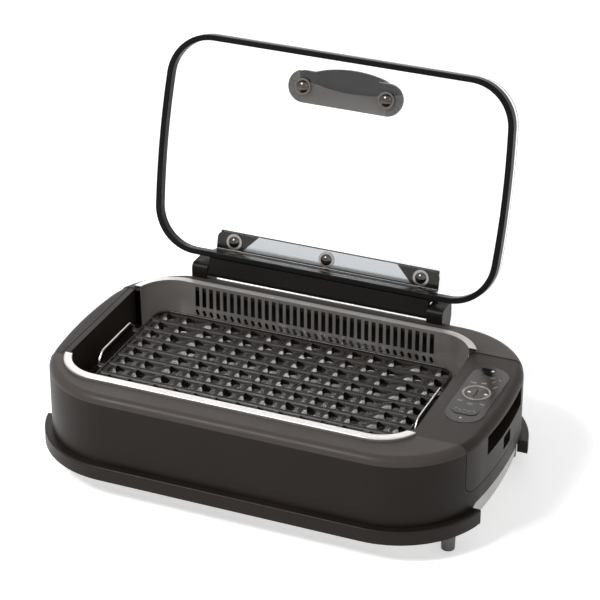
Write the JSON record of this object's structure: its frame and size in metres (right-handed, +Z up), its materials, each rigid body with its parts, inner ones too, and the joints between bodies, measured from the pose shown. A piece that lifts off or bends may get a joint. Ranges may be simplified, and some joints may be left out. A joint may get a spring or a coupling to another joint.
{
  "type": "smokeless indoor grill",
  "caption": "Countertop electric grill with a bowed body, ribbed cooking plate over a drip tray and heater, exhaust fan and a hinged glass lid standing open.",
  "frame": {"origin": "centre of the whole open grill's plan, on the surface it stands on", "axes": "+X to the end with the controls, +Y to the hinge at the rear, +Z up"},
  "size_m": [0.5184, 0.4236, 0.3991],
  "materials": {
    "housing_black": "satin, fine grained",
    "skirt_black": "satin",
    "pan_grey": "bare, satin",
    "foot_grey": "matte",
    "screw_steel": "zinc plated",
    "liner_steel": "satin",
    "panel_grey": "satin printed film",
    "button_black": "satin",
    "ring_chrome": "bright",
    "display_dark": "gloss",
    "lamp_red": "clear tinted",
    "board_green": "lacquered",
    "part_black": "matte",
    "inlet_black": "matte",
    "contact_brass": "bright",
    "duct_steel": "galvanised",
    "plate_nonstick": "non-stick coating, satin",
    "wire_steel": "bright drawn",
    "tray_aluminium": "satin",
    "heater_steel": "heat tinted",
    "block_black": "matte",
    "lid_glass": "clear tempered",
    "rim_black": "semi-gloss",
    "hinge_black": "satin",
    "bright_steel": "polished",
    "gasket_grey": "matte",
    "bush_rubber": "matte",
    "handle_gloss": "high gloss"
  },
  "bodies": {
    "base": {"outer_housing": "housing_black", "base_skirt": "skirt_black", "bottom_pan": "pan_grey", "foot_front_left": "foot_grey", "foot_front_right": "foot_grey", "foot_rear_left": "foot_grey", "foot_rear_right": "foot_grey", "foot_screws": "screw_steel", "pan_screws": "screw_steel", "chamber_liner": "liner_steel", "left_end_cap": "housing_black", "control_housing": "housing_black", "control_panel": "panel_grey", "temperature_ring": "ring_chrome", "display_window": "display_dark", "panel_lamp": "lamp_red", "control_board": "board_green", "display_module": "part_black", "board_screws": "screw_steel", "inlet_socket": "inlet_black", "inlet_pins": "contact_brass", "power_board": "board_green", "board_spacers": "duct_steel", "heater_socket": "inlet_black", "rear_duct": "duct_steel", "fan_duct": "duct_steel", "fan_frame": "part_black", "fan_motor": "duct_steel", "hinge_tower_left": "hinge_black", "hinge_tower_right": "hinge_black", "tower_screws": "screw_steel"},
    "lid": {"lid_glass": "lid_glass", "lid_rim": "rim_black", "hinge_bar": "hinge_black", "hinge_pin_left": "bright_steel", "hinge_pin_right": "bright_steel", "hinge_strip": "bright_steel", "bracket_bushes": "bush_rubber", "bracket_washers": "bright_steel", "bracket_screws": "bright_steel", "handle_gasket": "gasket_grey", "lid_handle": "handle_gloss", "handle_bushes": "bush_rubber", "handle_washers": "bright_steel", "handle_screws": "bright_steel"},
    "drip_tray": {"drip_tray": "tray_aluminium"},
    "heater": {"heating_element": "heater_steel", "heater_block": "block_black", "heater_contacts": "contact_brass", "thermostat_probe": "heater_steel", "heater_support_left": "heater_steel", "heater_support_right": "heater_steel"},
    "grill_plate": {"grill_plate": "plate_nonstick", "plate_handle_left": "wire_steel", "plate_handle_right": "wire_steel"},
    "fan_rotor": {"fan_impeller": "part_black"},
    "temp_down": {"temp_down_button": "button_black"},
    "temp_up": {"temp_up_button": "button_black"},
    "power": {"power_button": "button_black"}
  },
  "joints": [
    {"name": "lid_hinge", "type": "hinge", "parent": "base", "child": "lid", "pos_m": [-0.0243, 0.09667, 0.1311], "axis": [-1, 0, 0], "range_deg": [-104.56, 0]},
    {"name": "drip_tray_lift", "type": "slide", "parent": "base", "child": "drip_tray", "axis": [0, 0, 1], "range_m": [0, 0.075]},
    {"name": "heater_lift", "type": "slide", "parent": "drip_tray", "child": "heater", "axis": [0, 0, 1], "range_m": [0, 0.075]},
    {"name": "plate_lift", "type": "slide", "parent": "heater", "child": "grill_plate", "axis": [0, 0, 1], "range_m": [0, 0.075]},
    {"name": "fan_spin", "type": "hinge", "parent": "base", "child": "fan_rotor", "pos_m": [0, 0.00747, 0.038], "axis": [0, 0, 1], "continuous": true},
    {"name": "temp_down_press", "type": "slide", "parent": "base", "child": "temp_down", "axis": [0, 0, -1], "range_m": [0, 0.0008], "stiffness_N_per_m": 600, "springref_m": -0.0006},
    {"name": "temp_up_press", "type": "slide", "parent": "base", "child": "temp_up", "axis": [0, 0, -1], "range_m": [0, 0.0008], "stiffness_N_per_m": 600, "springref_m": -0.0006},
    {"name": "power_press", "type": "slide", "parent": "base", "child": "power", "axis": [0, 0, -1], "range_m": [0, 0.0008], "stiffness_N_per_m": 600, "springref_m": -0.0006}
  ]
}
